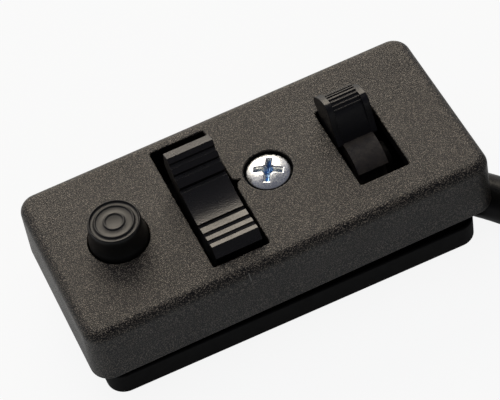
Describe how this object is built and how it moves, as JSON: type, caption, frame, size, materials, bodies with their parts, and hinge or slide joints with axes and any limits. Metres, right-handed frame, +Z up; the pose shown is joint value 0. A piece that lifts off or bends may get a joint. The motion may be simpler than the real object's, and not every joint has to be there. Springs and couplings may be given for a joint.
{
  "type": "scooter light switch",
  "caption": "Handlebar switch for a scooter: a box cover on a base with a horn push button, a dip rocker, a light lever and a sleeved cable that ends in a connector.",
  "frame": {"origin": "centre of the cover's outline on the plane that the base's flat underside rests on", "axes": "+X along the cover to the cable end, +Y across it away from the low end of the rocker, +Z up from the underside through the cover"},
  "size_m": [0.1725, 0.0918, 0.0262],
  "materials": {
    "cover_plastic": "moulded with a fine spark-eroded grain",
    "base_plastic": "moulded, smooth and matte",
    "button_rubber": "smooth moulded rubber",
    "rocker_nylon": "smooth satin nylon",
    "lever_nylon": "smooth satin nylon",
    "plunger_nylon": "natural white nylon",
    "zinc_screw": "bright zinc plate",
    "pin_steel": "drawn steel rod",
    "spring_steel": "spring wire",
    "brass": "pressed brass strip",
    "wire_sheath": "vinyl wire insulation",
    "sleeve_vinyl": "extruded soft vinyl sleeve",
    "boot_rubber": "shrunk tube",
    "connector_nylon": "natural nylon"
  },
  "bodies": {
    "housing": {"cover": "cover_plastic", "base": "base_plastic", "screw_insert": "brass", "cover_screw": "zinc_screw", "horn_spring": "spring_steel", "horn_terminal_near": "brass", "horn_terminal_far": "brass", "rocker_pin": "pin_steel", "rocker_terminal_near": "brass", "rocker_terminal_centre": "brass", "rocker_terminal_far": "brass", "lever_pin": "pin_steel", "lever_terminal_near": "brass", "lever_terminal_centre": "brass", "lever_terminal_far": "brass", "inner_wires": "wire_sheath", "cable_nipple": "base_plastic", "cable_sleeve": "sleeve_vinyl", "sleeve_coil": "sleeve_vinyl", "sleeve_tail": "sleeve_vinyl", "connector_boot": "boot_rubber", "connector_housing": "connector_nylon", "connector_sockets": "brass"},
    "button": {"horn_button": "button_rubber", "horn_plunger": "plunger_nylon", "horn_contact_disc": "brass"},
    "rocker": {"dip_rocker": "rocker_nylon", "rocker_wiper": "brass"},
    "lever": {"light_lever": "lever_nylon", "lever_wiper": "brass"}
  },
  "joints": [
    {"name": "horn_push", "type": "slide", "parent": "housing", "child": "button", "axis": [0, 0, -1], "range_m": [0, 0.002], "stiffness_N_per_m": 900, "springref_m": -0.0012, "deforming": ["horn_spring"]},
    {"name": "rocker_tilt", "type": "hinge", "parent": "housing", "child": "rocker", "pos_m": [-0.00725, 0.00044, 0.0128], "axis": [1, 0, 0], "range_deg": [-32, 0]},
    {"name": "lever_swing", "type": "hinge", "parent": "housing", "child": "lever", "pos_m": [0.0187, -0.00107, 0.0124], "axis": [1, 0, 0], "range_deg": [0, 62]}
  ]
}
